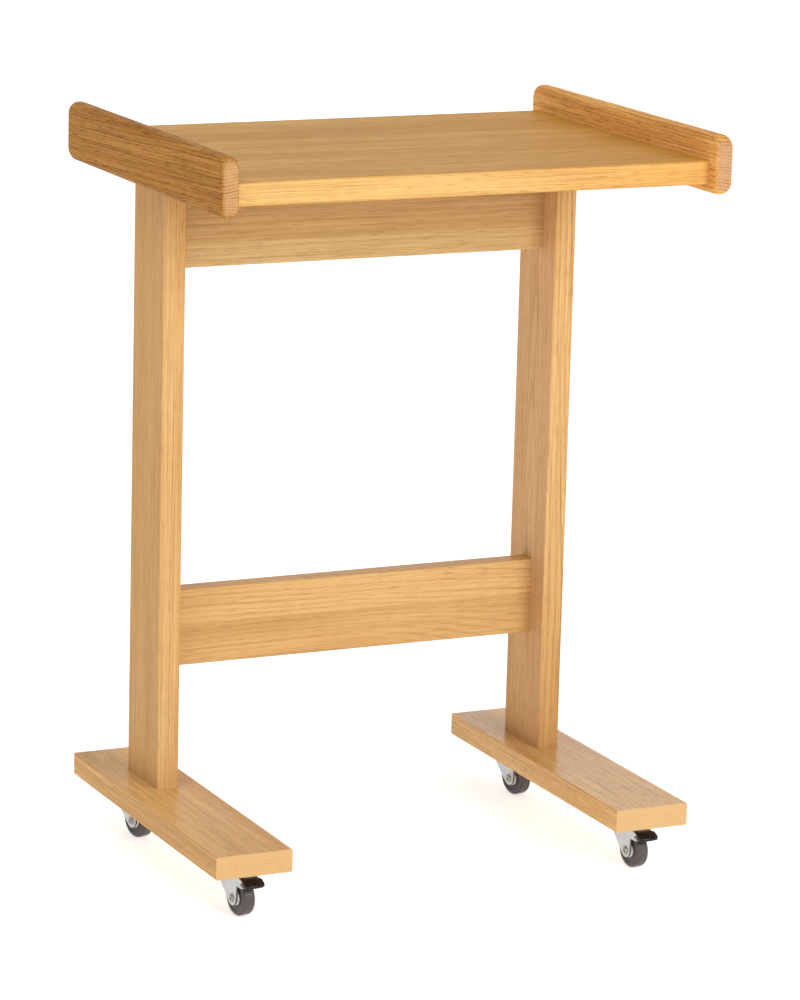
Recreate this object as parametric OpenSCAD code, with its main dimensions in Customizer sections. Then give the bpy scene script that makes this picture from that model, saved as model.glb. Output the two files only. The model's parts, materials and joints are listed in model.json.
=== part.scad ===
/* [Top board] */
// Width of the board between the end rails
board_w = 546; // [420:1:800]
// Depth of the board, front to back
board_d = 400; // [340:5:560]
// Thickness of the board
board_t = 25; // [18:0.5:36]
// Height of the board's surface above the floor
board_top = 789; // [600:1:900]
// Chamfer along the board's front and back edges
board_chamfer = 1.2; // [0.4:0.1:3]

/* [End rails] */
// Thickness of each end rail
rail_t = 20; // [16:0.5:32]
// Length by which a rail passes the board at each end
rail_over = 17; // [0:1:40]
// Height of a rail above the board's surface
rail_rise = 28.5; // [10:0.5:60]
// Depth of a rail below the board's underside
rail_drop = 10.5; // [2:0.5:40]
// Radius of a rail's corners, seen from the side
rail_corner = 18; // [7:0.5:24]
// Radius of the rounding along a rail's long edges
rail_round = 6; // [1:0.5:6.5]

/* [Uprights] */
// Thickness of an upright
upright_t = 25; // [18:0.5:40]
// Depth of an upright, front to back
upright_d = 85; // [60:1:140]
// Distance from the board's end to an upright's outer face
upright_inset = 26.5; // [24:0.5:80]
// Distance from the board's back edge to an upright's back face
upright_set = 67.5; // [20:0.5:120]

/* [Apron and stretcher] */
// Height of the apron under the board
apron_h = 112; // [60:1:180]
// Thickness of the apron
apron_t = 25; // [18:0.5:40]
// Height of the stretcher board
stretcher_h = 85; // [50:1:140]
// Thickness of the stretcher board
stretcher_t = 24; // [18:0.5:40]
// Height of the stretcher's lower edge above the floor
stretcher_z = 210; // [120:1:400]

/* [Feet] */
// Width of a foot
foot_w = 87; // [60:1:140]
// Distance of a foot's middle outside the middle of its upright
foot_out = 2; // [0:0.5:4]
// Length of a foot, front to back
foot_l = 412; // [360:2:560]
// Thickness of a foot
foot_t = 25; // [20:0.5:40]
// Distance that the feet sit behind the board's centre
foot_back = 7; // [-10:1:20]
// Chamfer round the edges of the straight boards
wood_chamfer = 0.8; // [0.3:0.1:2]

/* [Dowels and screws] */
// Diameter of the wooden dowels
dowel_d = 8; // [5:0.5:10]
// Length of the wooden dowels
dowel_l = 36; // [24:1:50]
// Depth of a dowel in the thinner piece
dowel_bite = 12; // [6:0.5:13]
// Distance of the outer dowels from the edge of a joint
dowel_edge = 22; // [10:1:26]
// Number of dowels between the board and each rail
rail_dowel_count = 5; // [2:1:8]
// Number of dowels between the board and the apron
apron_dowel_count = 3; // [2:1:6]
// Clearance round a dowel or a screw, and past its end
fit = 0.1; // [0.05:0.01:0.3]
// Shank diameter of the long screws that hold a foot to its upright
long_screw_d = 6; // [4:0.5:8]
// Length of the long screws
long_screw_l = 80; // [60:1:110]
// Shank diameter of the screws through a caster plate
plate_screw_d = 3.8; // [3:0.1:4.5]
// Length of the screws through a caster plate
plate_screw_l = 17; // [10:0.5:19]

/* [Casters] */
// Height of a caster, from the floor to the underside of the foot
caster_h = 55; // [53:0.5:80]
// Distance of a swivel axis from the end of the foot
caster_inset = 60; // [45:1:85]
// Distance of the axle in front of the swivel axis
caster_trail = 19; // [16:0.5:22]
// Diameter of a wheel
wheel_d = 40; // [36:0.5:41]
// Width of a tyre
tyre_w = 14; // [12:0.5:20]
// Width of a wheel hub
hub_w = 17; // [15:0.5:24]
// Radial thickness of a tyre
tyre_t = 5.5; // [3:0.1:7]
// Radius of the rounding at a tyre's shoulders
tyre_round = 3; // [1:0.1:3.5]
// Diameter of an axle
axle_d = 5; // [3:0.5:7]
// Thickness of the sheet steel of a fork and a plate
sheet = 2; // [1.2:0.1:2.6]
// Width of a square caster plate
plate_w = 42; // [38:1:60]
// Spacing of the screws in a caster plate
plate_pitch = 30; // [27:0.5:44]
// Diameter of the bearing balls
ball_d = 3; // [2:0.1:3.5]
// Number of bearing balls in a swivel race
ball_count = 16; // [8:1:17]
// Diameter of the swivel race, measured round the ball centres
race_d = 19.4; // [18:0.2:24]
// Diameter of the king pin
king_d = 6; // [4:0.5:8]
// Degrees that the front left caster stands turned
fl_turn = 8; // [-20:1:20]
// Degrees that the front right caster stands turned
fr_turn = 5; // [-20:1:20]
// Degrees that the back left caster stands turned
bl_turn = 14; // [-20:1:20]
// Degrees that the back right caster stands turned
br_turn = 11; // [-20:1:20]

/* [Brake pedals] */
// Distance of the pedal's hinge in front of the axle
pedal_reach = 19; // [18:0.5:26]
// Height of the pedal's hinge above the axle
pedal_rise = 19.3; // [18:0.5:22]
// Width of the pedal's tread
pedal_w = 24; // [20:0.5:34]
// Length of the pedal's tread in front of its hinge
pedal_l = 13.6; // [11:0.1:24]
// Radius of the tread's front corners, seen from above
pedal_round = 7; // [2:0.5:9]
// Diameter of the pedal's hinge pin
pedal_pin_d = 3; // [2:0.5:3.5]
// Distance of the brake shoe's centre from the hinge
shoe_reach = 5; // [4.5:0.1:5]
// Radius of the brake shoe
shoe_r = 2; // [1.2:0.1:2]

/* [Hidden] */
$fn = 64;
slack = 0.05;
side_gap = 0.5;
run_gap = 0.3;
eps = 0.5;

rail_l = board_d + 2 * rail_over;
rail_z0 = board_top - board_t - rail_drop;
rail_z1 = board_top + rail_rise;
under = board_top - board_t;
upright_x = board_w / 2 - upright_inset - upright_t / 2;
upright_y = board_d / 2 - upright_set - upright_d / 2;
foot_x = upright_x + foot_out;
foot_top = caster_h + foot_t;
span = 2 * upright_x - upright_t;
foot_front = foot_back - foot_l / 2;
foot_rear = foot_back + foot_l / 2;
front_axis = foot_front + caster_inset;
rear_axis = foot_rear - caster_inset;

wheel_r = wheel_d / 2;
rim_r = wheel_r - tyre_t;
boss_r = axle_d / 2 + 3;
cap_r = boss_r + 3;
web_t = 5;
fork_in = hub_w + 2 * side_gap;
fork_w = fork_in + 2 * sheet;
fork_bend = sheet + 1;
fork_boss_r = 8;
fork_back = 6;
fork_knee_r = 8;
fork_top = caster_h - sheet - ball_d - run_gap;
race_lip = 1.1;
race_r = race_d / 2 + ball_d / 2 + 0.2;
fork_disc_r = race_r + race_lip + 0.5;
king_head_r = king_d / 2 + 2;
king_head_t = 2.4;
axle_head_r = 5.2;
axle_head_t = 1.5;
pin_head_r = pedal_pin_d / 2 + 1;
pin_head_t = 0.9;
pedal_y = -caster_trail - pedal_reach;
pedal_z = wheel_r + pedal_rise;
ear_r = pedal_pin_d / 2 + 2.5;
barrel_r = pedal_pin_d / 2 + 1.7;
pedal_body_w = fork_in - 2 * run_gap;
shoe_angle = -75;

// Where each caster's swivel axis stands, and how far the caster is turned
fl = [-foot_x, front_axis, fl_turn];
fr = [foot_x, front_axis, fr_turn];
bl = [-foot_x, rear_axis, bl_turn];
br = [foot_x, rear_axis, br_turn];

// Places spread evenly over a length, the outer ones a given distance from its ends
function spread(n, length, edge) =
    [for (i = [0 : n - 1]) -length / 2 + edge + i * (length - 2 * edge) / (n - 1)];

// Outline extruded along X, drawn as Y across and Z up
module along_x(w) {
    rotate([90, 0, 90])
        linear_extrude(w, center = true) children();
}

// Outline extruded along Y, drawn as X across and Z up
module along_y(l) {
    rotate([90, 0, 0])
        linear_extrude(l, center = true) children();
}

// Rectangle with rounded corners, centred
module rounded(w, h, r) {
    square([w - 2 * r, h], center = true);
    square([w, h - 2 * r], center = true);
    for (x = [-1, 1], y = [-1, 1])
        translate([x * (w / 2 - r), y * (h / 2 - r)]) circle(r);
}

// Rectangle with cut corners, centred
module eased(w, h, c) {
    polygon([
        [-w / 2 + c, -h / 2], [w / 2 - c, -h / 2], [w / 2, -h / 2 + c], [w / 2, h / 2 - c],
        [w / 2 - c, h / 2], [-w / 2 + c, h / 2], [-w / 2, h / 2 - c], [-w / 2, -h / 2 + c]
    ]);
}

// Dowel with bevelled ends, from the origin along Z
module dowel(l = dowel_l, d = dowel_d) {
    bevel = 1;
    rotate_extrude()
        polygon([
            [0, 0], [d / 2 - bevel, 0], [d / 2, bevel],
            [d / 2, l - bevel], [d / 2 - bevel, l], [0, l]
        ]);
}

// Holes for one dowel that crosses the face at the origin
module dowel_holes() {
    translate([0, 0, -dowel_bite - fit]) cylinder(d = dowel_d + 2 * fit, h = dowel_l + 2 * fit);
}

// Dowels through the board's ends, pointing from the rail into the board
module at_rail_dowels(side) {
    for (y = spread(rail_dowel_count, board_d, dowel_edge + dowel_d))
        translate([side * board_w / 2, y, board_top - board_t / 2])
            rotate([0, -side * 90, 0]) children();
}

// Dowels between an upright's top and the board
module at_upright_dowels(side) {
    for (y = spread(2, upright_d, dowel_edge))
        translate([side * upright_x, upright_y + y, under]) rotate([180, 0, 0]) children();
}

// Dowels between the apron's ends and the uprights
module at_apron_end_dowels(side) {
    for (z = spread(2, apron_h, dowel_edge))
        translate([side * span / 2, upright_y, under - apron_h / 2 + z])
            rotate([0, -side * 90, 0]) children();
}

// Dowels between the apron's top and the board
module at_apron_top_dowels() {
    for (x = spread(apron_dowel_count, span, dowel_l + dowel_edge))
        translate([x, upright_y, under]) rotate([180, 0, 0]) children();
}

// Dowels between the stretcher's ends and the uprights
module at_stretcher_dowels(side) {
    for (z = spread(2, stretcher_h, dowel_edge))
        translate([side * span / 2, upright_y, stretcher_z + stretcher_h / 2 + z])
            rotate([0, -side * 90, 0]) children();
}

// Long screws up through a foot into its upright
module at_foot_screws(side) {
    for (y = spread(2, upright_d, dowel_edge))
        translate([side * upright_x, upright_y + y, caster_h]) children();
}

// Screws through a caster plate, heads down
module at_plate_screws() {
    for (x = [-1, 1], y = [-1, 1])
        translate([x * plate_pitch / 2, y * plate_pitch / 2, caster_h - sheet]) children();
}

// Countersunk wood screw standing on its flush head
module wood_screw(d, l, spare = 0) {
    head_h = d * 0.45;
    tip = d;
    r = d / 2 + spare;
    rotate_extrude()
        polygon([
            [0, 0], [d + spare, 0], [r, head_h + spare],
            [r, l - tip], [0.3 + spare, l + spare], [0, l + spare]
        ]);
}

// Wood

module top_board() {
    color("#C9A065")
        difference() {
            translate([0, 0, board_top - board_t / 2])
                along_x(board_w) eased(board_d, board_t, board_chamfer);
            for (side = [-1, 1]) {
                at_rail_dowels(side) dowel_holes();
                at_upright_dowels(side) dowel_holes();
            }
            at_apron_top_dowels() dowel_holes();
        }
}

// Rail: side outline, plan and cross-section meet, so every long edge is rounded
module end_rail(side) {
    h = rail_z1 - rail_z0;
    color("#B98A52")
        difference() {
            translate([side * (board_w + rail_t) / 2, 0, (rail_z0 + rail_z1) / 2])
                intersection() {
                    along_x(rail_t) rounded(rail_l, h, rail_corner);
                    along_y(rail_l) rounded(rail_t, h, rail_round);
                    linear_extrude(h, center = true) rounded(rail_t, rail_l, rail_round);
                }
            at_rail_dowels(side) dowel_holes();
        }
}

module upright(side) {
    length = under - foot_top;
    color("#DCB077")
        difference() {
            translate([side * upright_x, upright_y, foot_top])
                linear_extrude(length) eased(upright_t, upright_d, wood_chamfer);
            at_upright_dowels(side) dowel_holes();
            at_apron_end_dowels(side) dowel_holes();
            at_stretcher_dowels(side) dowel_holes();
            at_foot_screws(side) wood_screw(long_screw_d, long_screw_l, fit);
        }
}

module apron() {
    color("#C9995C")
        difference() {
            translate([0, upright_y, under - apron_h / 2])
                along_x(span) eased(apron_t, apron_h, wood_chamfer);
            for (side = [-1, 1]) at_apron_end_dowels(side) dowel_holes();
            at_apron_top_dowels() dowel_holes();
        }
}

module stretcher() {
    color("#DDAA66")
        difference() {
            translate([0, upright_y, stretcher_z + stretcher_h / 2])
                along_x(span) eased(stretcher_t, stretcher_h, wood_chamfer);
            for (side = [-1, 1]) at_stretcher_dowels(side) dowel_holes();
        }
}

module foot(side) {
    color("#D2A873")
        difference() {
            translate([side * foot_x, foot_back, caster_h + foot_t / 2])
                along_y(foot_l) eased(foot_w, foot_t, wood_chamfer);
            at_foot_screws(side) wood_screw(long_screw_d, long_screw_l, fit);
            for (y = [front_axis, rear_axis])
                translate([side * foot_x, y, 0])
                    at_plate_screws() wood_screw(plate_screw_d, plate_screw_l, fit);
        }
}

module dowels() {
    color("#E3C793") children();
}

module rail_dowels() {
    dowels() for (side = [-1, 1])
        at_rail_dowels(side) translate([0, 0, -dowel_bite]) dowel();
}

module upright_dowels() {
    dowels() for (side = [-1, 1])
        at_upright_dowels(side) translate([0, 0, -dowel_bite]) dowel();
}

module apron_end_dowels() {
    dowels() for (side = [-1, 1])
        at_apron_end_dowels(side) translate([0, 0, -dowel_bite]) dowel();
}

module apron_top_dowels() {
    dowels() at_apron_top_dowels() translate([0, 0, -dowel_bite]) dowel();
}

module stretcher_dowels() {
    dowels() for (side = [-1, 1])
        at_stretcher_dowels(side) translate([0, 0, -dowel_bite]) dowel();
}

module foot_screws() {
    color("#B8B8B0") for (side = [-1, 1])
        at_foot_screws(side) wood_screw(long_screw_d, long_screw_l);
}

// Casters, each drawn about its swivel axis with the floor at zero

// The fixed pieces of a caster
module stand(at) {
    translate([at[0], at[1], 0]) children();
}

// The pieces of a caster that turn on its king pin
module turned(at) {
    stand(at) rotate([0, 0, at[2]]) children();
}

// Plate with its countersunk holes and the lip that keeps the balls in
module plate(at) {
    z = caster_h - sheet;
    lip_h = ball_d - 0.2;
    color("#BFC1C2")
        stand(at)
        difference() {
            union() {
                translate([0, 0, z]) linear_extrude(sheet) rounded(plate_w, plate_w, 5);
                translate([0, 0, z - lip_h])
                    difference() {
                        cylinder(r = race_r + race_lip, h = lip_h + eps);
                        translate([0, 0, -eps]) cylinder(r = race_r, h = lip_h + eps);
                    }
            }
            at_plate_screws() wood_screw(plate_screw_d, plate_screw_l, fit);
            king_pin_shape(slack);
        }
}

module plate_screws(at) {
    color("#A9ABA8")
        stand(at) at_plate_screws() wood_screw(plate_screw_d, plate_screw_l);
}

module race_balls(at) {
    color("#D5D7D8")
        stand(at)
        for (i = [0 : ball_count - 1])
            rotate([0, 0, i * 360 / ball_count])
                translate([race_d / 2, 0, caster_h - sheet - ball_d / 2])
                    sphere(d = ball_d, $fn = 32);
}

// Riveted pin: a head under the fork, a plain shank and a flare in the plate
module king_pin_shape(spare = 0) {
    r = king_d / 2 + spare;
    flare = 1.2;
    head_z = fork_top - sheet - run_gap;
    rotate_extrude()
        polygon([
            [0, head_z - king_head_t], [king_head_r - 0.8, head_z - king_head_t],
            [king_head_r, head_z - king_head_t + 0.8], [king_head_r, head_z], [r, head_z],
            [r, caster_h - flare], [r + flare, caster_h], [0, caster_h]
        ]);
}

module king_pin(at) {
    color("#B0B2B3") stand(at) king_pin_shape();
}

// Folded channel seen from the front: two cheeks under a flat web
module fork_section() {
    module arch(w, z, r) {
        translate([-w / 2, 0]) square([w, z - r]);
        translate([-w / 2 + r, 0]) square([w - 2 * r, z]);
        for (x = [-1, 1]) translate([x * (w / 2 - r), z - r]) circle(r);
    }
    difference() {
        arch(fork_w, fork_top, fork_bend);
        translate([0, -eps]) arch(fork_in, fork_top - sheet + eps, fork_bend - sheet);
    }
}

// Cheek seen from the side: a boss round the axle, and a back edge that slopes up to a round knee
module fork_outline(ears) {
    front = -caster_trail - fork_boss_r;
    boss_cut = fork_boss_r * cos(45);
    knee_cut = fork_knee_r * cos(45);
    knee_y = fork_back - fork_knee_r;
    // Height at which the knee's centre is one radius from the slope that touches the boss
    knee_z = wheel_r + fork_back + caster_trail - 2 * boss_cut - fork_knee_r + 2 * knee_cut;
    polygon([
        [front, wheel_r], [front, pedal_z], [front + 6, fork_top],
        [fork_back, fork_top], [fork_back, knee_z], [knee_y + knee_cut, knee_z - knee_cut],
        [-caster_trail + boss_cut, wheel_r - boss_cut], [-caster_trail, wheel_r]
    ]);
    translate([knee_y, knee_z]) circle(fork_knee_r);
    translate([-caster_trail, wheel_r]) circle(fork_boss_r);
    if (ears) {
        translate([pedal_y, pedal_z]) circle(ear_r);
        polygon([
            [pedal_y, pedal_z - ear_r], [pedal_y, pedal_z + ear_r],
            [front + 6, fork_top], [front + 8, pedal_z - ear_r]
        ]);
    }
}

module fork(at, ears) {
    color("#C3C5C6")
        turned(at)
        difference() {
            union() {
                intersection() {
                    along_y(4 * foot_w) fork_section();
                    along_x(fork_w + 2 * eps) fork_outline(ears);
                }
                translate([0, 0, fork_top - sheet]) cylinder(r = fork_disc_r, h = sheet);
            }
            translate([0, 0, fork_top - sheet - eps])
                cylinder(d = king_d + 2 * slack, h = sheet + 2 * eps);
            translate([0, -caster_trail, wheel_r])
                rotate([0, 90, 0]) cylinder(d = axle_d + 2 * slack, h = 2 * fork_w, center = true);
            if (ears)
                translate([0, pedal_y, pedal_z]) rotate([0, 90, 0])
                    cylinder(d = pedal_pin_d + 2 * slack, h = 2 * fork_w, center = true);
        }
}

// Rivet along X with a stepped head outside each cheek, dimpled in the middle
module rivet(d, head_r, head_t) {
    rotate([0, 90, 0]) {
        cylinder(d = d, h = fork_w, center = true);
        for (side = [0, 1])
            mirror([0, 0, side])
                translate([0, 0, fork_w / 2])
                rotate_extrude()
                    polygon([
                        [0, -eps], [d / 2, -eps], [d / 2, 0], [head_r, 0], [head_r, head_t * 0.25],
                        [head_r * 0.92, head_t * 0.4], [head_r * 0.68, head_t * 0.4],
                        [head_r * 0.64, head_t * 0.85], [head_r * 0.56, head_t],
                        [head_r * 0.4, head_t], [head_r * 0.3, head_t * 0.4], [0, head_t * 0.4]
                    ]);
    }
}

module axle(at) {
    color("#B8BABB")
        turned(at) translate([0, -caster_trail, wheel_r])
            rivet(axle_d, axle_head_r, axle_head_t);
}

module pedal_pin(at) {
    color("#B8BABB")
        turned(at) translate([0, pedal_y, pedal_z]) rivet(pedal_pin_d, pin_head_r, pin_head_t);
}

// Revolved about the axle, drawn with the radius across and the width up
module wheel_turned(at) {
    turned(at) translate([0, -caster_trail, wheel_r])
        rotate([0, 90, 0]) rotate_extrude($fn = 96) children();
}

module hub(at) {
    bore_r = axle_d / 2 + slack;
    rim_in = cap_r + slack;
    rim_w = tyre_w - 1;
    color("#6E665E")
        wheel_turned(at) {
            translate([bore_r, -hub_w / 2]) square([boss_r - bore_r, hub_w]);
            translate([boss_r - eps, -web_t / 2]) square([rim_in - boss_r + 2 * eps, web_t]);
            translate([rim_in, -rim_w / 2]) square([rim_r - rim_in, rim_w]);
        }
}

module tyre(at) {
    inner = rim_r + 2 * fit;
    color("#7A6F66")
        wheel_turned(at)
            difference() {
                union() {
                    translate([inner - eps, -tyre_w / 2])
                        square([wheel_r - tyre_round - inner + eps, tyre_w]);
                    translate([inner - eps, -tyre_w / 2 + tyre_round])
                        square([wheel_r - inner + eps, tyre_w - 2 * tyre_round]);
                    for (side = [-1, 1])
                        translate([wheel_r - tyre_round, side * (tyre_w / 2 - tyre_round)])
                            circle(tyre_round);
                }
                translate([0, -tyre_w]) square([inner, 2 * tyre_w]);
            }
}

// Cover disc on each side of the hub, proud of the tyre
module hub_caps(at) {
    r0 = boss_r + slack;
    x = (tyre_w + hub_w) / 4 + 0.3;
    color("#D8D8D2")
        for (side = [0, 1])
            wheel_turned(at) mirror([0, side])
                polygon([
                    [r0, x - 0.3], [cap_r - 1, x], [cap_r, x - 0.9], [cap_r, web_t / 2 + 0.4],
                    [cap_r - 1.2, web_t / 2 + 0.4], [cap_r - 1.4, x - 1.6], [r0, x - 1.6]
                ]);
}

// Pedal seen from the side, about its hinge, with the wheel behind it
module pedal_outline() {
    circle(barrel_r);
    polygon([
        [barrel_r, 0], [barrel_r, 5.6], [barrel_r - 0.8, 6.4], [-3, 6.4],
        [-pedal_l + 0.9, 2.2], [-pedal_l, 1.2], [-pedal_l, -1.1], [-pedal_l + 0.9, -2],
        [-4, -2.6], [-2, -2.4]
    ]);
}

module shoe_outline() {
    rotate([0, 0, shoe_angle]) {
        translate([0, -shoe_r]) square([shoe_reach, 2 * shoe_r]);
        translate([shoe_reach, 0]) circle(shoe_r);
    }
}

module brake_pedal(at) {
    ear_gap = ear_r + 0.4;
    plan_back = 20;
    color("#1C1C1E")
        turned(at) translate([0, pedal_y, pedal_z])
        difference() {
            union() {
                along_x(pedal_body_w) shoe_outline();
                intersection() {
                    union() {
                        along_x(pedal_body_w) pedal_outline();
                        along_x(pedal_w)
                            difference() {
                                pedal_outline();
                                circle(ear_gap);
                                translate([-2.4, -20]) square([20, 40]);
                            }
                    }
                    translate([0, (plan_back - pedal_l) / 2, 0])
                        linear_extrude(40, center = true)
                            rounded(pedal_w, pedal_l + plan_back, pedal_round);
                }
            }
            rotate([0, 90, 0]) cylinder(d = pedal_pin_d + 2 * slack, h = 2 * pedal_w, center = true);
        }
}

top_board();
end_rail(-1);  // left_end_rail
end_rail(1);  // right_end_rail
upright(-1);  // left_upright
upright(1);  // right_upright
apron();
stretcher();
foot(-1);  // left_foot
foot(1);  // right_foot
rail_dowels();
upright_dowels();
apron_end_dowels();
apron_top_dowels();
stretcher_dowels();
foot_screws();

// Front left caster
plate(fl);  // fl_plate
plate_screws(fl);  // fl_plate_screws
race_balls(fl);  // fl_race_balls
king_pin(fl);  // fl_king_pin
fork(fl, true);  // fl_fork
axle(fl);  // fl_axle
hub(fl);  // fl_hub
tyre(fl);  // fl_tyre
hub_caps(fl);  // fl_hub_caps
brake_pedal(fl);  // fl_brake_pedal
pedal_pin(fl);  // fl_pedal_pin

// Front right caster
plate(fr);  // fr_plate
plate_screws(fr);  // fr_plate_screws
race_balls(fr);  // fr_race_balls
king_pin(fr);  // fr_king_pin
fork(fr, true);  // fr_fork
axle(fr);  // fr_axle
hub(fr);  // fr_hub
tyre(fr);  // fr_tyre
hub_caps(fr);  // fr_hub_caps
brake_pedal(fr);  // fr_brake_pedal
pedal_pin(fr);  // fr_pedal_pin

// Back left caster, without a brake
plate(bl);  // bl_plate
plate_screws(bl);  // bl_plate_screws
race_balls(bl);  // bl_race_balls
king_pin(bl);  // bl_king_pin
fork(bl, false);  // bl_fork
axle(bl);  // bl_axle
hub(bl);  // bl_hub
tyre(bl);  // bl_tyre
hub_caps(bl);  // bl_hub_caps

// Back right caster, without a brake
plate(br);  // br_plate
plate_screws(br);  // br_plate_screws
race_balls(br);  // br_race_balls
king_pin(br);  // br_king_pin
fork(br, false);  // br_fork
axle(br);  // br_axle
hub(br);  // br_hub
tyre(br);  // br_tyre
hub_caps(br);  // br_hub_caps
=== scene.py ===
"""Side table on casters: the materials, small details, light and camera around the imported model."""

import json
import math

import bmesh
import bpy
from mathutils import Matrix, Vector


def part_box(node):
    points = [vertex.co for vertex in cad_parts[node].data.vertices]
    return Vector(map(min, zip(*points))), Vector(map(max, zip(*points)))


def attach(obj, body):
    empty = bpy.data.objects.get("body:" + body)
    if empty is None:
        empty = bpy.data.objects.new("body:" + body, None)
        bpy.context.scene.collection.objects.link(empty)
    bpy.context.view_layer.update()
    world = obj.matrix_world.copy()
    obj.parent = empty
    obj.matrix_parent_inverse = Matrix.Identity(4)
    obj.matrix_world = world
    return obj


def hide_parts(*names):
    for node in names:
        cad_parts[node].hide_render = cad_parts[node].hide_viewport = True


MM = 0.001

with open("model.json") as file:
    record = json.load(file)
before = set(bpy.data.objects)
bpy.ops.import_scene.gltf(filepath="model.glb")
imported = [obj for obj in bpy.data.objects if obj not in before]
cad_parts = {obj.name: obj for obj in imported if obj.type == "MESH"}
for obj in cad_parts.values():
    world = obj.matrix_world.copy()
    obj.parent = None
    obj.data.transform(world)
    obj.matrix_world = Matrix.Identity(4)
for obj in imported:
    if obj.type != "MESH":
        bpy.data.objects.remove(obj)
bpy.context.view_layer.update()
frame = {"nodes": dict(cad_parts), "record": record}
nodes = frame["nodes"]


# Camera
# The place and the three angles come from the edges of the boards in the photograph.
CAMERA_PLACE = Vector((-1.95905, -4.13171, 1.45342))
CAMERA_YAW = math.radians(25.553)
CAMERA_PITCH = math.radians(-12.997)
CAMERA_ROLL = math.radians(1.519)
FOCAL_PIXELS = 4298.48
IMAGE_LONG_SIDE = 1000.0
SENSOR = 36.0
NEAREST = 0.1
FARTHEST = 60.0


def make_camera():
    """A camera that stands and looks as the photograph's did."""
    y, p, r = CAMERA_YAW, CAMERA_PITCH, CAMERA_ROLL
    ahead = Vector((math.sin(y) * math.cos(p), math.cos(y) * math.cos(p), math.sin(p)))
    level = Vector((math.cos(y), -math.sin(y), 0.0))
    above = level.cross(ahead)
    right = math.cos(r) * level + math.sin(r) * above
    up = -math.sin(r) * level + math.cos(r) * above
    data = bpy.data.cameras.new("camera")
    data.sensor_width = SENSOR
    data.sensor_fit = "AUTO"
    data.lens = FOCAL_PIXELS * SENSOR / IMAGE_LONG_SIDE
    data.clip_start = NEAREST
    data.clip_end = FARTHEST
    cam = bpy.data.objects.new("camera", data)
    bpy.context.scene.collection.objects.link(cam)
    turn = Matrix((right, up, -ahead)).transposed().to_4x4()
    cam.matrix_world = Matrix.Translation(CAMERA_PLACE) @ turn
    bpy.context.scene.camera = cam


# Shader helpers
def linear(code):
    """The linear colour of a web colour such as C49A5E."""
    out = []
    for i in (0, 2, 4):
        v = int(code[i:i + 2], 16) / 255.0
        out.append(v / 12.92 if v <= 0.04045 else ((v + 0.055) / 1.055) ** 2.4)
    return (*out, 1.0)


class Shader:
    """A material's node tree, with short calls for the nodes that this scene uses."""

    def __init__(self, name):
        self.mat = bpy.data.materials.new(name)
        self.mat.use_nodes = True
        self.tree = self.mat.node_tree
        self.tree.nodes.clear()
        self.out = self.node("ShaderNodeOutputMaterial")
        self.bsdf = self.node("ShaderNodeBsdfPrincipled")
        self.link(self.bsdf.outputs[0], self.out.inputs["Surface"])
        self.place = self.node("ShaderNodeTexCoord").outputs["Object"]

    def node(self, kind, **fields):
        n = self.tree.nodes.new(kind)
        for key, value in fields.items():
            setattr(n, key, value)
        return n

    def link(self, a, b):
        self.tree.links.new(a, b)

    def feed(self, socket, value):
        """Sets a socket to a number or colour, or links an output to it."""
        if isinstance(value, bpy.types.NodeSocket):
            self.link(value, socket)
        else:
            socket.default_value = value

    def math(self, op, a, b=0.0, c=None):
        n = self.node("ShaderNodeMath", operation=op)
        self.feed(n.inputs[0], a)
        self.feed(n.inputs[1], b)
        if c is not None:
            self.feed(n.inputs[2], c)
        return n.outputs[0]

    def vector(self, op, a, b):
        n = self.node("ShaderNodeVectorMath", operation=op)
        self.feed(n.inputs[0], a)
        self.feed(n.inputs[1], b)
        return n.outputs[0]

    def parts(self, value):
        """The three numbers of a place or direction."""
        n = self.node("ShaderNodeSeparateXYZ")
        self.link(value, n.inputs[0])
        return n.outputs

    def facing(self):
        """The direction that the surface faces, in the object's own axes."""
        return self.parts(self.node("ShaderNodeTexCoord").outputs["Normal"])

    def chance(self, key):
        """A random number and a random colour for each value of key."""
        n = self.node("ShaderNodeTexWhiteNoise", noise_dimensions="1D")
        self.link(key, n.inputs["W"])
        return n.outputs["Value"], n.outputs["Color"]

    def noise(self, where, sizes, detail=2.0, rough=0.5):
        """Noise with blobs of about the given sizes in mm along each axis."""
        n = self.node("ShaderNodeTexNoise", noise_dimensions="3D")
        n.inputs["Scale"].default_value = 1.0
        n.inputs["Detail"].default_value = detail
        n.inputs["Roughness"].default_value = rough
        scaled = self.vector("MULTIPLY", where, tuple(1.0 / (s * MM) for s in sizes))
        self.link(scaled, n.inputs["Vector"])
        return n.outputs["Fac"]

    def span(self, value, lo, hi, to_lo=0.0, to_hi=1.0, smooth=True):
        """Maps lo to hi on to another range, held at its ends."""
        n = self.node("ShaderNodeMapRange")
        n.interpolation_type = "SMOOTHSTEP" if smooth else "LINEAR"
        self.feed(n.inputs["Value"], value)
        n.inputs["From Min"].default_value = lo
        n.inputs["From Max"].default_value = hi
        n.inputs["To Min"].default_value = to_lo
        n.inputs["To Max"].default_value = to_hi
        return n.outputs["Result"]

    def blend(self, amount, a, b):
        """Colour a, with the given amount of colour b over it."""
        n = self.node("ShaderNodeMix", data_type="RGBA", blend_type="MIX")
        self.feed(n.inputs[0], amount)
        self.feed(n.inputs[6], a)
        self.feed(n.inputs[7], b)
        return n.outputs[2]

    def bump(self, height, depth_mm, strength):
        n = self.node("ShaderNodeBump")
        n.inputs["Strength"].default_value = strength
        n.inputs["Distance"].default_value = depth_mm * MM
        self.link(height, n.inputs["Height"])
        self.link(n.outputs[0], self.bsdf.inputs["Normal"])

    def set(self, **values):
        """Sets the shader's own sockets; a key's underscores stand for spaces."""
        for key, value in values.items():
            self.feed(self.bsdf.inputs[key.replace("_", " ")], value)


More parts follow.
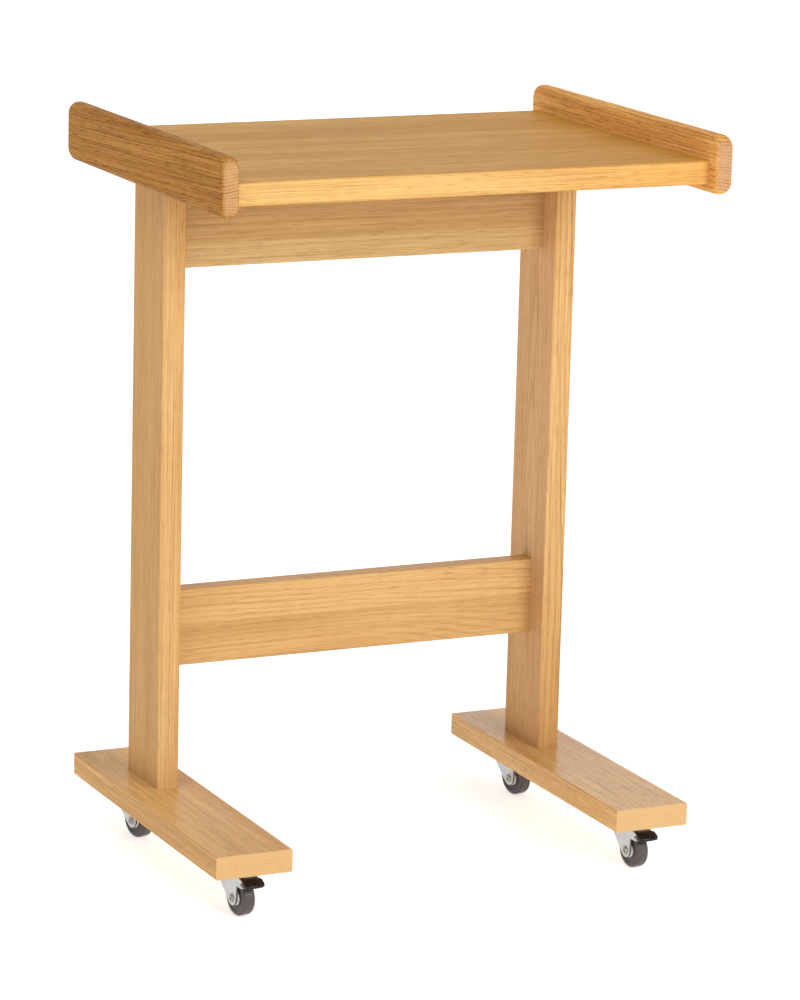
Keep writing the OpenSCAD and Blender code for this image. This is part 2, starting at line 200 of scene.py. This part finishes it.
# Oak
# The grain runs along one axis. Growth rings are cylinders round a pith that lies beside the board.
GRAIN_AXES = {"x": (0, 1, 2), "y": (1, 0, 2), "z": (2, 0, 1)}
SEED_STEPS = (1.37, 0.71, 0.29)
STAVE_SEED = 7.3
STAVE_LEAN = 20.0 * MM

# Sizes of the figure in mm: along the grain, and twice across it
RING_WANDER = (300.0, 42.0, 42.0)
RING_RIPPLE = (80.0, 6.0, 6.0)
RING_PATCHES = (190.0, 16.0, 16.0)
TONE_DRIFT = (300.0, 34.0, 34.0)
STREAKS = (330.0, 3.0, 3.0)
FIBRES = (130.0, 1.15, 1.15)
VESSELS = (22.0, 0.55, 0.55)
GLOSS_CLOUDS = (34.0, 8.0, 8.0)

# How far the rings wander and ripple, and where in a year its dark wood comes and goes
WANDER_REACH = 4.0 * MM
RIPPLE_REACH = 1.3 * MM
EARLY_RISE = (0.0, 0.14)
EARLY_FALL = (0.16, 0.60)
WEAKEST_YEAR = 0.35
PATCH_SPAN = (0.32, 0.66)
WEAKEST_PATCH = 0.25

# How strongly each part of the figure shows, and the painted light and shade of one side
DRIFT_STRENGTH = 0.9
TONE_HALF_RANGE = 0.26
RING_STRENGTH = 0.42
FIBRE_STRENGTH = 0.36
PORE_STRENGTH = 0.45
END_COLOUR_STRENGTH = 0.85
END_SOFTENING = 0.55
SIDE_LIGHT_SHADE_STRENGTH = 0.5
FADE_STRENGTH = 0.35
# The gain on the next line makes the pale dashes lighter than the lightest tone: partly oak's ray
# fleck, partly a painted sheen.
FLECK_SHEEN_GAIN = 1.25
EARLY_PORES = 0.07

# From which value of the noise fibres, pores, the pale dashes with their painted sheen, and dull
# patches show, and where they are full
FIBRE_SPAN = (0.42, 0.72)
PORE_SPAN = (0.56, 0.70)
FLECK_SHEEN_SPAN = (0.30, 0.46)
DULL_SPAN = (0.3, 0.7)

# From which slope a face counts as an end, as a side with painted light and shade, and as cut flat
# along the rings
END_SPAN = (0.45, 0.97)
SIDE_LIGHT_SHADE_SPAN = (0.6, 0.9)
FLAT_SPAN = (0.75, 1.0)

# Lacquer, and the relief of fibres and pores under it
OAK_IOR = 1.5
OAK_ROUGH = (0.43, 0.51)
PORE_ROUGH = 0.10
OAK_GLEAM = 0.03
COAT_ROUGH = 0.24
COAT_IOR = 1.45
FIBRE_HEIGHT = 0.30
PORE_HEIGHT = 0.60
OAK_DEPTH_MM = 0.06
OAK_RELIEF = 0.5


def stave_steps(s, base, axes, staves, seed):
    """A board glued from staves: the step in tone, the step of the pith and the place in the grain.

    staves is the axis that they follow each other along (0 along the grain, 1 and 2 across it), their
    width and the first one's start in mm, how far their tones spread, and how far each is lighter
    than the one before.
    """
    axis, width, start, spread, lift = staves
    index = s.math("FLOOR", s.math("DIVIDE", s.math("SUBTRACT", axes[axis], start * MM), width * MM))
    value, colour = s.chance(s.math("ADD", index, seed * STAVE_SEED))
    own = s.math("SUBTRACT", value, 0.5)
    shift = s.math("MULTIPLY_ADD", index, lift, s.math("MULTIPLY", own, spread))
    lean = s.math("MULTIPLY", own, STAVE_LEAN)
    return shift, lean, s.vector("ADD", base, colour)


def growth_rings(s, base, near, high, ring, wave):
    """The dark early wood of rings that wander a little and come and go, and the pith's distance."""
    wander = s.math("SUBTRACT", s.noise(base, RING_WANDER, detail=1.0), 0.5)
    ripple = s.math("SUBTRACT", s.noise(base, RING_RIPPLE, detail=2.0), 0.5)
    square = s.math("ADD", s.math("MULTIPLY", near, near), s.math("MULTIPLY", high, high))
    radius = s.math("ADD", s.math("SQRT", square), s.math("MULTIPLY", wander, wave * WANDER_REACH))
    radius = s.math("ADD", radius, s.math("MULTIPLY", ripple, RIPPLE_REACH))
    count = s.math("DIVIDE", radius, ring * MM)
    phase = s.math("FRACT", count)
    early = s.math("MULTIPLY", s.span(phase, *EARLY_RISE), s.span(phase, *EARLY_FALL, 1.0, 0.0))
    year = s.chance(s.math("FLOOR", count))[0]
    early = s.math("MULTIPLY", early, s.span(year, 0.0, 1.0, WEAKEST_YEAR, 1.0))
    patch = s.noise(base, RING_PATCHES, detail=1.0)
    early = s.math("MULTIPLY", early, s.span(patch, *PATCH_SPAN, WEAKEST_PATCH, 1.0))
    return early, radius


def oak(name, grain, pith, light, mid, dark, end, seed, ring, wave, tilt=(0.0, 0.0), lines=1.0,
        streaks=1.0, pores=1.0, slope=0.0, staves=None, side_light_and_shade=None, fade=None, end_lines=0.45,
        calm=0.25, flecks_and_sheen=0.0, coat=0.0):
    """Lacquered oak.

    pith is the pith's place in mm across the grain, and tilt how far it leans per mm. ring is the
    rings' spacing in mm and wave how much they wander. lines, streaks, pores and flecks_and_sheen are
    the strengths of the rings, the streaks and fibres, the pores and the pale dashes along the grain,
    which are partly oak's ray fleck and partly a painted sheen.
    slope is how far the fibres run out of line with the board, per mm. side_light_and_shade is an
    axis and the colour that the faces towards it lean to: painted light and shade, for how the lamps
    light that side. fade is the place in mm along the grain where a drift to another colour starts
    and ends, and that colour. end_lines is the strength of the rings on the board's ends, and calm
    what is left of them on a face that runs along them.
    """
    s = Shader(name)
    order = GRAIN_AXES[grain]
    place = s.parts(s.place)
    axes = [place[i] for i in order]
    if slope:
        axes[2] = s.math("MULTIPLY_ADD", axes[0], slope, axes[2])
    turned = s.node("ShaderNodeCombineXYZ")
    for axis, socket in zip(axes, turned.inputs):
        s.link(axis, socket)
    base = s.vector("ADD", turned.outputs[0], tuple(seed * step for step in SEED_STEPS))
    shift = 0.0
    lean = 0.0
    if staves:
        shift, lean, base = stave_steps(s, base, axes, staves, seed)

    # The way from the pith, across the board and through it
    along, across, deep = axes
    near = s.math("ADD", s.math("MULTIPLY_ADD", along, tilt[0], across), -pith[0] * MM)
    near = s.math("ADD", near, lean)
    high = s.math("ADD", s.math("MULTIPLY_ADD", along, tilt[1], deep), -pith[1] * MM)
    early, radius = growth_rings(s, base, near, high, ring, wave)

    # Tone: broad drift and soft streaks along the grain
    drift = s.noise(base, TONE_DRIFT, detail=1.0)
    streak = s.noise(base, STREAKS, detail=3.0, rough=0.55)
    fibre = s.noise(base, FIBRES, detail=2.0, rough=0.55)
    vessel = s.noise(base, VESSELS, detail=1.0)
    tone = s.math("ADD", s.math("MULTIPLY", drift, DRIFT_STRENGTH), s.math("MULTIPLY", streak, streaks))
    tone = s.math("SUBTRACT", tone, 0.5 * DRIFT_STRENGTH + 0.5 * streaks)
    tone = s.math("ADD", tone, shift)
    colour = s.blend(s.span(tone, -TONE_HALF_RANGE, TONE_HALF_RANGE, smooth=False), mid, light)

    # The ends have their own colour, and softer fibres and pores.
    facing = s.facing()
    cut = s.span(s.math("ABSOLUTE", facing[order[0]]), *END_SPAN)
    colour = s.blend(s.math("MULTIPLY", cut, END_COLOUR_STRENGTH), colour, end)
    soft = s.math("MULTIPLY_ADD", cut, -END_SOFTENING, 1.0)
    crisp = s.math("MULTIPLY_ADD", cut, end_lines - 1.0, 1.0)

    # Where a face runs along the rings it cuts them flat, and they fade.
    flat = s.math("MULTIPLY", near, facing[order[1]])
    flat = s.math("MULTIPLY_ADD", high, facing[order[2]], flat)
    flat = s.span(s.math("ABSOLUTE", s.math("DIVIDE", flat, radius)), *FLAT_SPAN, 1.0, calm)
    shown = s.math("MULTIPLY", crisp, flat)
    ringed = s.math("MULTIPLY", s.math("MULTIPLY", early, RING_STRENGTH * lines), shown)
    colour = s.blend(ringed, colour, dark)
    # Painted light and shade: the faces towards one axis lean to a lighter or darker colour, for how
    # the lamps light that side.
    if side_light_and_shade:
        edge = s.span(s.math("ABSOLUTE", facing[side_light_and_shade[0]]), *SIDE_LIGHT_SHADE_SPAN)
        colour = s.blend(s.math("MULTIPLY", edge, SIDE_LIGHT_SHADE_STRENGTH), colour, side_light_and_shade[1])
    if fade:
        drifted = s.span(along, fade[0] * MM, fade[1] * MM, 0.0, FADE_STRENGTH)
        colour = s.blend(drifted, colour, fade[2])
    # Pale dashes along the grain, lighter than the lightest tone: partly oak's ray fleck, partly a
    # painted sheen.
    if flecks_and_sheen:
        pale = tuple(min(1.0, c * FLECK_SHEEN_GAIN) for c in light)
        fleck_sheen = s.span(fibre, *FLECK_SHEEN_SPAN, flecks_and_sheen, 0.0)
        fleck_sheen = s.math("MULTIPLY", fleck_sheen, s.math("SUBTRACT", 1.0, cut))
        colour = s.blend(fleck_sheen, colour, pale)
    thread = s.span(fibre, *FIBRE_SPAN, 0.0, FIBRE_STRENGTH * streaks)
    thread = s.math("MULTIPLY", thread, soft)
    colour = s.blend(thread, colour, dark)
    pore = s.span(s.math("MULTIPLY_ADD", early, EARLY_PORES, vessel), *PORE_SPAN)
    speck = s.math("MULTIPLY", s.math("MULTIPLY", pore, PORE_STRENGTH * pores), soft)
    colour = s.blend(speck, colour, dark)

    gloss = s.noise(base, GLOSS_CLOUDS, detail=2.0)
    dull = s.span(gloss, *DULL_SPAN, *OAK_ROUGH)
    s.set(Base_Color=colour, Roughness=s.math("MULTIPLY_ADD", pore, PORE_ROUGH, dull))
    s.set(IOR=OAK_IOR, Specular_IOR_Level=OAK_GLEAM)
    s.set(Coat_Weight=coat, Coat_Roughness=COAT_ROUGH, Coat_IOR=COAT_IOR)
    raised = s.math("MULTIPLY", fibre, FIBRE_HEIGHT)
    s.bump(s.math("SUBTRACT", raised, s.math("MULTIPLY", pore, PORE_HEIGHT)), OAK_DEPTH_MM, OAK_RELIEF)
    return s.mat


# Metal, rubber and plastic: the sizes in mm of clouds, scratches, grit and scuffs, and their strengths
CLOUD_SPAN = (0.35, 0.75)
SHEET_CLOUDS = 5.0
SHEET_CLOUD_STRENGTH = 0.22
SHEET_SCRATCHES = (0.30, 4.0, 0.30)
SHEET_SCRATCH_STRENGTH = 0.14
SHEET_SCRATCH_ROUGH = 0.06
RUBBER_CLOUDS = 5.0
RUBBER_CLOUD_STRENGTH = 0.45
RUBBER_GRIT = (0.5, 0.5, 0.5)
RUBBER_GRIT_STRENGTH = 0.18
RUBBER_ROUGH = (0.34, 0.50)
PLASTIC_CLOUDS = 4.0
PLASTIC_CLOUD_STRENGTH = 0.30
PLASTIC_GRAIN = (0.28, 0.28, 0.28)
PLASTIC_SCUFFS = (0.5, 6.0, 0.5)
PLASTIC_SCUFF_STRENGTH = 0.20
LESS_ROUGH = 0.03
MORE_ROUGH = 0.06


def clouds(s, size):
    """A mask with clouds of one size in mm, for dust, handling and uneven finish."""
    return s.span(s.noise(s.place, (size, size, size), detail=3.0, rough=0.6), *CLOUD_SPAN)


def uneven(s, cloud, rough):
    """Roughness that is a little less between the clouds and a little more in them."""
    return s.span(cloud, 0.0, 1.0, rough - LESS_ROUGH, rough + MORE_ROUGH)


def zinc(name, colour, shade, rough, grain=0.15):
    """Zinc plated sheet steel: an even light grey with faint clouds and fine rolled scratches."""
    s = Shader(name)
    cloud = clouds(s, SHEET_CLOUDS)
    fine = s.noise(s.place, SHEET_SCRATCHES, detail=2.0, rough=0.6)
    tint = s.blend(s.math("MULTIPLY", cloud, SHEET_CLOUD_STRENGTH), linear(colour), linear(shade))
    tint = s.blend(s.span(fine, 0.42, 0.75, 0.0, SHEET_SCRATCH_STRENGTH), tint, linear(shade))
    s.set(Base_Color=tint, Metallic=1.0)
    scratched = s.math("MULTIPLY", fine, SHEET_SCRATCH_ROUGH)
    s.set(Roughness=s.math("ADD", uneven(s, cloud, rough), scratched))
    s.bump(fine, 0.015, grain)
    return s.mat


def rubber(name, colour, worn):
    """Grey rolling rubber with a soft shine, dusty in places."""
    s = Shader(name)
    cloud = clouds(s, RUBBER_CLOUDS)
    grit = s.noise(s.place, RUBBER_GRIT, detail=2.0, rough=0.6)
    tint = s.blend(s.math("MULTIPLY", cloud, RUBBER_CLOUD_STRENGTH), linear(colour), linear(worn))
    tint = s.blend(s.span(grit, 0.45, 0.75, 0.0, RUBBER_GRIT_STRENGTH), tint, linear(worn))
    s.set(Base_Color=tint, Roughness=s.span(cloud, 0.0, 1.0, *RUBBER_ROUGH), IOR=1.5)
    s.bump(grit, 0.03, 0.25)
    return s.mat


def plastic(name, colour, worn, rough, grain=0.20, gleam=0.5):
    """Moulded plastic with a fine spark-eroded grain and light scuffs."""
    s = Shader(name)
    cloud = clouds(s, PLASTIC_CLOUDS)
    grit = s.noise(s.place, PLASTIC_GRAIN, detail=1.0)
    scuff = s.noise(s.place, PLASTIC_SCUFFS, detail=2.0, rough=0.6)
    tint = s.blend(s.math("MULTIPLY", cloud, PLASTIC_CLOUD_STRENGTH), linear(colour), linear(worn))
    tint = s.blend(s.span(scuff, 0.66, 0.84, 0.0, PLASTIC_SCUFF_STRENGTH), tint, linear(worn))
    s.set(Base_Color=tint, Roughness=uneven(s, cloud, rough))
    s.set(IOR=1.46, Specular_IOR_Level=gleam)
    s.bump(grit, 0.015, grain)
    return s.mat


# Colours of the boards
def tones(light, mid, dark, end):
    """An oak board's lightest and middle tone, its dark lines and its ends."""
    return {"light": linear(light), "mid": linear(mid), "dark": linear(dark), "end": linear(end)}


TOP = tones("D5A65D", "C59149", "8E5E2A", "D9A873")
# The two end rails are one oak: the left rail's darker tones are partly browner wood and partly painted
# shade, and the right rail's much lighter tones are painted light.
RAIL_BROWN_AND_SHADED = tones("BF8742", "A26C2A", "633910", "C5976A")
RAIL_RIGHT_LIT = tones("F6BC6D", "E09F54", "88541E", "B78F6F")
POST = tones("D7AF78", "C89B62", "8F6232", "CFA273")
CROSS = tones("D0A66B", "BE9057", "8A5E2E", "CFA273")
APRON = tones("D1B27F", "C09A67", "866033", "CFA273")
FOOT = tones("DAAE70", "C9995A", "946636", "CEA772")
DOWEL = tones("DDBB8E", "CDA777", "A67F50", "C9A377")

OAK = {
    "top_board": oak(
        "oak_board", "x", (-900.0, 740.0), seed=1.3, ring=5.5, wave=3.0, lines=0.8, streaks=1.2,
        staves=(1, 66.0, -200.0, 0.32, 0.0), fade=(0.0, 260.0, linear("CC8518")),
        side_light_and_shade=(1, linear("E6BC7E")), **TOP),
    "left_end_rail": oak(
        "oak_rail_left", "y", (-283.0, 320.0), seed=2.1, ring=3.4, wave=3.0, lines=1.1,
        end_lines=1.6, streaks=1.5, pores=1.6, slope=0.048, **RAIL_BROWN_AND_SHADED),
    "right_end_rail": oak(
        "oak_rail_right", "y", (283.0, 300.0), seed=3.4, ring=3.4, wave=3.0, lines=1.1,
        end_lines=1.6, streaks=1.6, pores=1.6, **RAIL_RIGHT_LIT),
    "left_upright": oak(
        "oak_upright_left", "z", (-640.0, 60.0), seed=4.2, ring=3.6, wave=2.0, lines=0.8,
        streaks=0.95, side_light_and_shade=(0, linear("C2955F")), **POST),
    "right_upright": oak(
        "oak_upright_right", "z", (218.0, 90.0), tilt=(0.035, 0.004), seed=5.7, ring=4.0, wave=2.5,
        lines=1.4, calm=0.9, side_light_and_shade=(0, linear("E6BA8C")), fade=(340.0, 80.0, linear("AC7638")), **POST),
    "apron": oak(
        "oak_apron", "x", (200.0, 1100.0), seed=6.1, ring=6.5, wave=3.0, lines=0.5, streaks=0.8,
        staves=(2, 30.0, 648.0, 0.10, -0.25), **APRON),
    "stretcher": oak(
        "oak_stretcher", "x", (66.0, 196.0), tilt=(0.12, 0.0), seed=7.9, ring=5.2, wave=4.0,
        lines=0.70, streaks=0.60, coat=0.25, calm=0.8, staves=(2, 46.0, 210.0, 0.05, 0.34), **CROSS),
    "left_foot": oak(
        "oak_foot_left", "y", (-236.0, -260.0), tilt=(0.0, 0.03), seed=8.6, ring=3.4, wave=2.4,
        streaks=1.1, coat=0.32, flecks_and_sheen=0.45, side_light_and_shade=(0, linear("B88034")), **FOOT),
    "right_foot": oak(
        "oak_foot_right", "y", (236.0, -240.0), tilt=(0.0, 0.03), seed=9.8, ring=3.4, wave=2.4,
        streaks=1.1, coat=0.80, flecks_and_sheen=0.75, pores=1.5, side_light_and_shade=(0, linear("CE9214")), **FOOT),
}
BEECH = oak("beech_dowel", "z", (300.0, 300.0), seed=11.0, ring=2.0, wave=1.0, lines=0.4, pores=0.3,
            **DOWEL)
ZINC = zinc("zinc_sheet", "BFC2C3", "9C9D9C", 0.34)
STEEL = zinc("screw_steel", "A3A19C", "6E6B66", 0.20)
BEARING = zinc("bearing_steel", "D8D8D6", "C4C4C2", 0.14, grain=0.025)
RUBBER = rubber("tyre_rubber", "443B3A", "564B49")
HUB = plastic("hub_plastic", "3A3332", "524A48", 0.42)
CAP = plastic("cap_plastic", "E2E1DE", "CBC9C5", 0.34)
PEDAL = plastic("pedal_plastic", "151416", "1E1D20", 0.22, grain=0.04, gleam=0.35)

ENDINGS = (
    ("_dowels", BEECH), ("_screws", STEEL), ("_plate", ZINC), ("_fork", ZINC), ("_race_balls", BEARING),
    ("_king_pin", STEEL), ("_axle", STEEL), ("_pedal_pin", STEEL), ("_hub", HUB), ("_tyre", RUBBER),
    ("_hub_caps", CAP), ("_brake_pedal", PEDAL),
)


def dress(node):
    """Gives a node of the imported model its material."""
    made = OAK.get(node)
    if made is None:
        made = next(mat for ending, mat in ENDINGS if node.endswith(ending))
    mesh = nodes[node].data
    mesh.materials.clear()
    mesh.materials.append(made)


for node in sorted(nodes):
    dress(node)


# Pieces that stand for a solid
DOUBLES = 0.01 * MM


def loft(name, rings, material, body, node, crease=38.0):
    """A closed skin through rings of points, which have as many points each.

    Edges that turn by more than crease degrees are sharp.
    """
    bm = bmesh.new()
    rows = [[bm.verts.new(point) for point in ring] for ring in rings]
    for row, after in zip(rows, rows[1:]):
        for i in range(len(row)):
            j = (i + 1) % len(row)
            bm.faces.new((row[i], row[j], after[j], after[i]))
    bm.faces.new(rows[0])
    bm.faces.new(rows[-1])
    bmesh.ops.remove_doubles(bm, verts=bm.verts, dist=DOUBLES)
    bmesh.ops.recalc_face_normals(bm, faces=bm.faces)
    for face in bm.faces:
        face.smooth = True
    mesh = bpy.data.meshes.new(name)
    bm.to_mesh(mesh)
    bm.free()
    mesh.set_sharp_from_angle(angle=math.radians(crease))
    mesh.materials.append(material)
    piece = bpy.data.objects.new(name, mesh)
    bpy.context.scene.collection.objects.link(piece)
    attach(piece, body)
    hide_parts(node)


# The end rails are rounder over their long edges than across their ends, as hand-sanded rails are.
RAIL_CORNER = 14.0 * MM
RAIL_OVER_ROUND = 8.6 * MM
RAIL_END_ROUND = 5.5 * MM
CORNER_STEPS = 14
EDGE_STEPS = 8


def soft_rail(node):
    """A board on edge with wide corners, rounder along its edges than across its ends."""
    lo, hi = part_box(node)
    mid = (lo + hi) / 2
    half = (hi - lo) / 2
    rim = []
    for corner in range(4):
        for k in range(CORNER_STEPS + 1):
            turn = math.radians(90.0 * (corner + k / CORNER_STEPS))
            way = (math.cos(turn), math.sin(turn))
            side = (1.0 if corner in (0, 3) else -1.0, 1.0 if corner < 2 else -1.0)
            base = [side[i] * (half[i + 1] - RAIL_CORNER) for i in (0, 1)]
            rim.append((base, way, RAIL_END_ROUND + (RAIL_OVER_ROUND - RAIL_END_ROUND) * way[1] ** 2))
    rings = []
    for side in (-1, 1):
        for k in range(EDGE_STEPS + 1):
            turn = math.pi / 2 * k / EDGE_STEPS
            ring = []
            for base, way, r in rim:
                reach = RAIL_CORNER - r * (1.0 - math.cos(turn))
                x = side * (half[0] - r * (1.0 - math.sin(turn)))
                ring.append(mid + Vector((x, base[0] + way[0] * reach, base[1] + way[1] * reach)))
            rings.append(ring)
    rings = rings[EDGE_STEPS::-1] + rings[EDGE_STEPS + 1:]
    loft(node + "_board", rings, OAK[node], "table", node)


for node in ("left_end_rail", "right_end_rail"):
    soft_rail(node)


# The brake pedals are moulded, so their tread is crowned and round at its corners.
# Each corner is (y, z, fillet) in mm about the hinge, with the wheel at +y. The second list is the
# outline beside the fork's ears, corner for corner.
PEDAL_MIDDLE = (
    (-13.6, 1.5, 1.0), (-13.6, -1.7, 1.2), (-7.5, -2.8, 1.5), (-2.4, -2.9, 0.3), (-0.3, -6.8, 1.4),
    (2.9, -6.0, 1.4), (3.2, -1.0, 1.0), (3.2, 6.3, 0.8), (-1.6, 6.4, 0.6), (-6.2, 5.5, 1.8),
)
PEDAL_TREAD = (
    (-13.6, 1.5, 1.0), (-13.6, -1.7, 1.2), (-7.5, -2.8, 1.5), (-5.0, -2.8, 0.3), (-4.9, -2.4, 0.1),
    (-4.7, -1.6, 0.1), (-4.5, -0.6, 0.1), (-3.1, 4.6, 0.3), (-2.7, 6.1, 0.5), (-6.2, 5.5, 1.8),
)
PEDAL_TIP = 13.6
PEDAL_HALF = 12.0
PEDAL_BODY_HALF = 8.6
PEDAL_PLAN_ROUND = 6.5
PEDAL_PLAN_DRAW = 0.8
PEDAL_CROWN = 2.6
PEDAL_THINNING = 0.45
PEDAL_CENTRE_Z = 1.2
FILLET_STEPS = 4
FILLET_SHARE = 0.45


def filleted(corners):
    """A closed outline with each corner eased over its fillet, at most over a share of its edges."""
    out = []
    for i, (y, z, fillet) in enumerate(corners):
        here = Vector((y, z))
        before = Vector(corners[i - 1][:2]) - here
        after = Vector(corners[(i + 1) % len(corners)][:2]) - here
        a = here + before.normalized() * min(fillet, before.length * FILLET_SHARE)
        b = here + after.normalized() * min(fillet, after.length * FILLET_SHARE)
        for k in range(FILLET_STEPS + 1):
            t = k / FILLET_STEPS
            out.append(a * (1 - t) ** 2 + here * (2 * t * (1 - t)) + b * t ** 2)
    return out


def rounded(x, radius):
    """How far a quarter round of this radius has fallen at x from the middle, as a share of it."""
    turn = max(0.0, abs(x) - PEDAL_HALF + radius) / radius
    return 1.0 - math.sqrt(max(0.0, 1.0 - turn * turn))


def soft_pedal(side):
    """A pedal skin from one edge of the tread to the other, with the body between the fork's ears."""
    joints = frame["record"]["behaviour"]["joints"]
    joint = next(j for j in joints if j["name"] == side + "_brake_press")
    hinge = Vector(joint["pos_m"])
    right = Vector(joint["axis"]).normalized()
    back = Vector((-right.y, right.x, 0.0))
    middle = filleted(PEDAL_MIDDLE)
    tread = filleted(PEDAL_TREAD)
    heel = max(p.x for p in tread)
    wing_w = PEDAL_HALF - PEDAL_BODY_HALF
    wing = [PEDAL_BODY_HALF + wing_w * math.sin(math.radians(a)) for a in range(0, 91, 15)]
    body = [PEDAL_BODY_HALF * share for share in (-1.0, -0.5, 0.0, 0.5, 1.0)]
    rows = [(-x, tread) for x in reversed(wing)]
    rows += [(x, middle) for x in body]
    rows += [(x, tread) for x in wing]
    rings = []
    for x, outline in rows:
        draw = PEDAL_PLAN_ROUND * rounded(x, PEDAL_PLAN_ROUND) * PEDAL_PLAN_DRAW
        thin = 1.0 - PEDAL_THINNING * rounded(x, PEDAL_CROWN)
        ring = []
        for y, z in outline:
            if y < heel and abs(x) > PEDAL_HALF - PEDAL_PLAN_ROUND:
                y = heel + (y - heel) * (1.0 - draw / (heel + PEDAL_TIP))
            z = PEDAL_CENTRE_Z + (z - PEDAL_CENTRE_Z) * thin
            ring.append(hinge + (right * x + back * y + Vector((0.0, 0.0, z))) * MM)
        rings.append(ring)
    loft(side + "_pedal_moulding", rings, PEDAL, side + "_brake", side + "_brake_pedal",
         crease=50.0)


for side in ("fl", "fr"):
    soft_pedal(side)


# Stage: a large pale floor lit evenly like a white table, a soft even world and soft studio lamps
WHITE = (1.0, 1.0, 1.0, 1.0)
FLOOR_HALF = 14.0
FLOOR_DROP = 0.5 * MM
FLOOR_COLOUR = (0.78, 0.78, 0.78, 1.0)
FLOOR_GLOW = 0.58
HORIZON_LIGHT = 1.0
ZENITH_LIGHT = 0.46
SKY_FADE = (0.14, 0.50)
CENTRE = (0.0, 0.0, 0.42)

# Each lamp's name, place, target, width and height, and power
LAMPS = (
    ("front_softbox", (1.1, -3.5, 1.95), CENTRE, (2.2, 1.6), 86.0),
    ("top_softbox", (0.4, 0.4, 3.6), CENTRE, (2.4, 2.4), 6.0),
    ("left_softbox", (-1.7, -0.6, 3.1), (-0.1, 0.0, 0.5), (1.3, 1.3), 23.0),
    ("backdrop_softbox", (2.6, 6.8, 3.6), (2.6, 6.8, 0.0), (5.0, 5.0), 70.0),
)


def make_stage():
    """The floor, just under the wheels."""
    bm = bmesh.new()
    ways = ((-1, -1), (1, -1), (1, 1), (-1, 1))
    bm.faces.new([bm.verts.new((x * FLOOR_HALF, y * FLOOR_HALF, 0.0)) for x, y in ways])
    mesh = bpy.data.meshes.new("floor")
    bm.to_mesh(mesh)
    bm.free()
    floor = bpy.data.objects.new("floor", mesh)
    bpy.context.scene.collection.objects.link(floor)
    floor.location.z = -FLOOR_DROP
    s = Shader("floor_paper")
    s.set(Base_Color=FLOOR_COLOUR, Roughness=0.9, Specular_IOR_Level=0.1)
    s.set(Emission_Color=WHITE, Emission_Strength=FLOOR_GLOW)
    mesh.materials.append(s.mat)


def make_lamp(name, place, target, size, power):
    """A white softbox that looks at its target."""
    data = bpy.data.lights.new(name, "AREA")
    data.shape = "RECTANGLE"
    data.size, data.size_y = size
    data.energy = power
    lamp = bpy.data.objects.new(name, data)
    bpy.context.scene.collection.objects.link(lamp)
    lamp.location = place
    lamp.rotation_mode = "QUATERNION"
    lamp.rotation_quaternion = (Vector(target) - Vector(place)).to_track_quat("-Z", "Y")


def make_world():
    """White light all round, which fades from the horizon to the ceiling."""
    world = bpy.data.worlds.new("studio")
    world.use_nodes = True
    bpy.context.scene.world = world
    tree = world.node_tree
    back = tree.nodes["Background"]
    back.inputs[0].default_value = WHITE
    parts = tree.nodes.new("ShaderNodeSeparateXYZ")
    tree.links.new(tree.nodes.new("ShaderNodeTexCoord").outputs["Generated"], parts.inputs[0])
    fade = tree.nodes.new("ShaderNodeMapRange")
    fade.interpolation_type = "SMOOTHSTEP"
    fade.inputs["From Min"].default_value = SKY_FADE[0]
    fade.inputs["From Max"].default_value = SKY_FADE[1]
    fade.inputs["To Min"].default_value = HORIZON_LIGHT
    fade.inputs["To Max"].default_value = ZENITH_LIGHT
    tree.links.new(parts.outputs["Z"], fade.inputs["Value"])
    tree.links.new(fade.outputs["Result"], back.inputs[1])


make_camera()
make_stage()
make_world()
for lamp in LAMPS:
    make_lamp(*lamp)

bpy.context.scene.view_settings.view_transform = "Standard"
bpy.context.scene.view_settings.look = "None"

bpy.context.view_layer.update()
